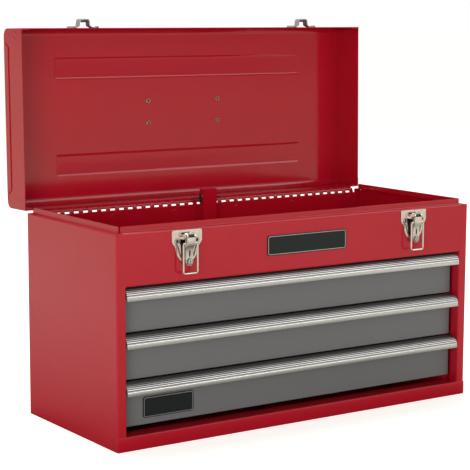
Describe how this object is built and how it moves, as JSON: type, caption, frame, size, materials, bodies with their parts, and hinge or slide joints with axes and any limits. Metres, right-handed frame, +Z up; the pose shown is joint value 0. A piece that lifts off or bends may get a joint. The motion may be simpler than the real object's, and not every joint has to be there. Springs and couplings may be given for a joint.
{
  "type": "portable tool chest",
  "caption": "Portable sheet-steel tool chest with drawers on ball slides, a hinged lift-up lid over a top well, draw latches and a folding carrying handle.",
  "frame": {"origin": "centre of the footprint, on the surface the chest stands on", "axes": "X to the right across the front, the front faces -Y, Z up"},
  "size_m": [0.51, 0.2914, 0.4753],
  "materials": {
    "red_paint": "gloss red enamel",
    "drawer_paint": "satin grey enamel",
    "pull_aluminium": "bright drawn aluminium",
    "plated_steel": "zinc plated steel",
    "nickel_plate": "nickel plate",
    "plate_black": "gloss black, bare",
    "grip_black": "matt black moulding"
  },
  "bodies": {
    "body": {"body_shell": "red_paint", "back_panel": "red_paint", "base_pan": "red_paint", "well_floor": "red_paint", "upright_front_left": "red_paint", "upright_front_right": "red_paint", "upright_rear_left": "red_paint", "upright_rear_right": "red_paint", "hinge_leaf_body": "red_paint", "hinge_pin": "plated_steel", "cabinet_slides_1": "plated_steel", "cabinet_slides_2": "plated_steel", "cabinet_slides_3": "plated_steel", "lock_channel": "red_paint", "lock_spring": "plated_steel", "latch_plate_left": "nickel_plate", "latch_plate_right": "nickel_plate", "latch_pin_left": "nickel_plate", "latch_pin_right": "nickel_plate", "latch_rivets": "nickel_plate", "front_plate": "plate_black"},
    "lid": {"lid_panel": "red_paint", "lid_end_left": "red_paint", "lid_end_right": "red_paint", "hinge_leaf_lid": "red_paint", "keeper_left": "nickel_plate", "keeper_right": "nickel_plate", "keeper_rivets": "nickel_plate", "handle_saddle_left": "plated_steel", "handle_saddle_right": "plated_steel", "handle_rivets": "plated_steel"},
    "handle": {"handle_bail": "plated_steel", "handle_grip": "grip_black"},
    "latch_lever_left": {"lever_left": "nickel_plate", "lock_barrel_left": "nickel_plate"},
    "latch_lever_right": {"lever_right": "nickel_plate", "lock_barrel_right": "nickel_plate"},
    "wire_bail_left": {"latch_bail_left": "nickel_plate"},
    "wire_bail_right": {"latch_bail_right": "nickel_plate"},
    "lock": {"lock_bar": "plated_steel"},
    "drawer_1": {"drawer_tray_1": "drawer_paint", "drawer_face_1": "drawer_paint", "drawer_pull_1": "pull_aluminium", "drawer_slides_1": "plated_steel"},
    "cages_1": {"ball_cages_1": "plated_steel"},
    "drawer_2": {"drawer_tray_2": "drawer_paint", "drawer_face_2": "drawer_paint", "drawer_pull_2": "pull_aluminium", "drawer_slides_2": "plated_steel"},
    "cages_2": {"ball_cages_2": "plated_steel"},
    "drawer_3": {"drawer_tray_3": "drawer_paint", "drawer_face_3": "drawer_paint", "drawer_pull_3": "pull_aluminium", "drawer_slides_3": "plated_steel", "drawer_tag": "plate_black"},
    "cages_3": {"ball_cages_3": "plated_steel"}
  },
  "joints": [
    {"name": "lid_hinge", "type": "hinge", "parent": "body", "child": "lid", "pos_m": [0, 0.111, 0.244], "axis": [1, 0, 0], "range_deg": [0, 91]},
    {"name": "handle_pivot", "type": "hinge", "parent": "lid", "child": "handle", "pos_m": [0, 0.16767, 0.35653], "axis": [1, 0, 0], "range_deg": [-1, 179]},
    {"name": "lever_left_pivot", "type": "hinge", "parent": "body", "child": "latch_lever_left", "pos_m": [-0.165, -0.1143, 0.2365], "axis": [1, 0, 0], "range_deg": [-120, 0]},
    {"name": "bail_left_pivot", "type": "hinge", "parent": "latch_lever_left", "child": "wire_bail_left", "pos_m": [-0.165, -0.1166, 0.229], "axis": [-1, 0, 0], "range_deg": [0, 184]},
    {"name": "lever_right_pivot", "type": "hinge", "parent": "body", "child": "latch_lever_right", "pos_m": [0.165, -0.1143, 0.2365], "axis": [1, 0, 0], "range_deg": [-120, 0]},
    {"name": "bail_right_pivot", "type": "hinge", "parent": "latch_lever_right", "child": "wire_bail_right", "pos_m": [0.165, -0.1166, 0.229], "axis": [-1, 0, 0], "range_deg": [0, 184]},
    {"name": "drawer_1_slide", "type": "slide", "parent": "body", "child": "drawer_1", "axis": [0, -1, 0], "range_m": [0, 0.125]},
    {"name": "cages_1_slide", "type": "slide", "parent": "body", "child": "cages_1", "axis": [0, -1, 0], "range_m": [0, 0.0625]},
    {"name": "drawer_2_slide", "type": "slide", "parent": "body", "child": "drawer_2", "axis": [0, -1, 0], "range_m": [0, 0.125]},
    {"name": "cages_2_slide", "type": "slide", "parent": "body", "child": "cages_2", "axis": [0, -1, 0], "range_m": [0, 0.0625]},
    {"name": "drawer_3_slide", "type": "slide", "parent": "body", "child": "drawer_3", "axis": [0, -1, 0], "range_m": [0, 0.125]},
    {"name": "cages_3_slide", "type": "slide", "parent": "body", "child": "cages_3", "axis": [0, -1, 0], "range_m": [0, 0.0625]},
    {"name": "lock_bar_slide", "type": "slide", "parent": "body", "child": "lock", "axis": [0, 0, -1], "range_m": [0, 0.006], "stiffness_N_per_m": 20, "deforming": ["lock_spring"]}
  ],
  "couplings": [
    {"joint": "cages_1_slide", "follows": "drawer_1_slide", "ratio": 0.5},
    {"joint": "cages_2_slide", "follows": "drawer_2_slide", "ratio": 0.5},
    {"joint": "cages_3_slide", "follows": "drawer_3_slide", "ratio": 0.5},
    {"joint": "lock_bar_slide", "follows": "lid_hinge", "m_per_rad": 0.00377}
  ]
}
